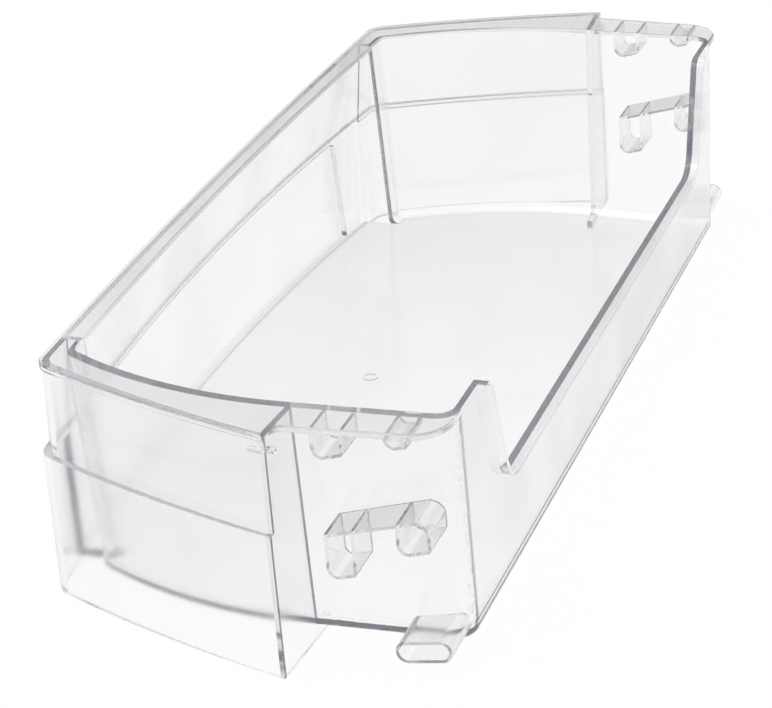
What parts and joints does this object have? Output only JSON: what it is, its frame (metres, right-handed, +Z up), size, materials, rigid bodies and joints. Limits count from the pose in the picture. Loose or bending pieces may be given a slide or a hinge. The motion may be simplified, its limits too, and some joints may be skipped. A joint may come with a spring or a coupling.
{
  "type": "fridge door shelf",
  "caption": "Clear moulded refrigerator door shelf: bowed front with an inward rim, wing skirts, cut-away back wall and hook loops on the end walls that hang it on a door liner.",
  "frame": {"origin": "middle of the shelf's footprint on the plane its skirts stand on", "axes": "+X along the door, +Y towards the door liner, -Y the bowed front, +Z up"},
  "size_m": [0.4228, 0.1805, 0.095],
  "materials": {
    "clear_plastic": "clear, polished in the mould"
  },
  "bodies": {
    "root": {"door_shelf": "clear_plastic"}
  },
  "joints": []
}
